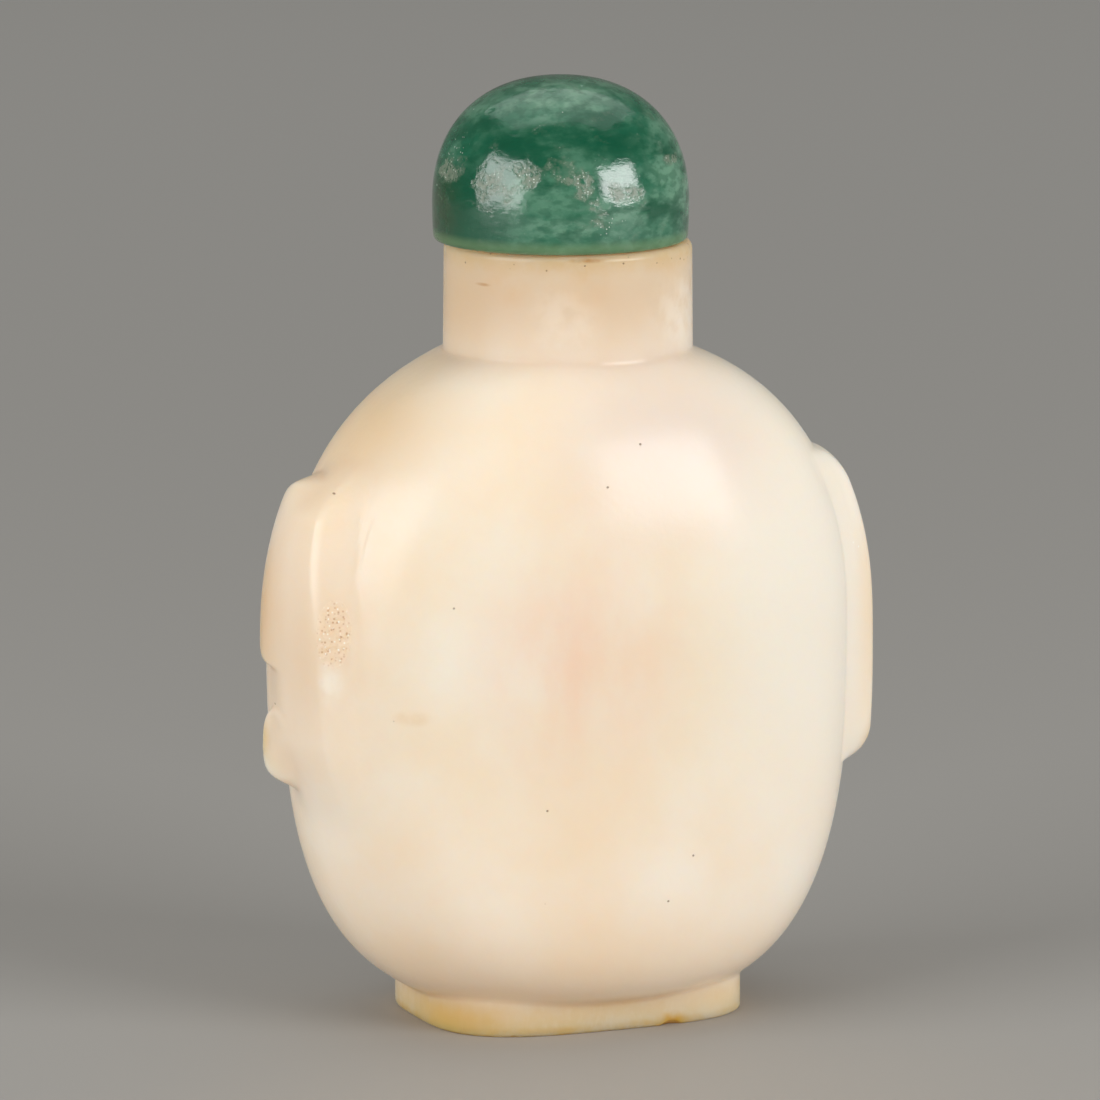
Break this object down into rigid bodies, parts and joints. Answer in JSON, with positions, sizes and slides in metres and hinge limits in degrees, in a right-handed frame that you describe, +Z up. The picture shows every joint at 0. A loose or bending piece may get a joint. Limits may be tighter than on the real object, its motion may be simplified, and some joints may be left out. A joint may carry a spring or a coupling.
{
  "type": "snuff bottle",
  "caption": "Small flattened pebble-shaped bottle carved from pale stone, with an oval foot, a straight neck, mask-and-ring relief on its narrow sides and a domed green stone stopper.",
  "frame": {"origin": "middle of the underside of the foot", "axes": "+Z up through the neck and stopper, +X towards one ringed side, +Y towards one broad face"},
  "size_m": [0.0428, 0.0254, 0.063],
  "materials": {
    "pale_stone": "satin",
    "green_stone": "polished"
  },
  "bodies": {
    "root": {"bottle": "pale_stone", "stopper": "green_stone"}
  },
  "joints": []
}
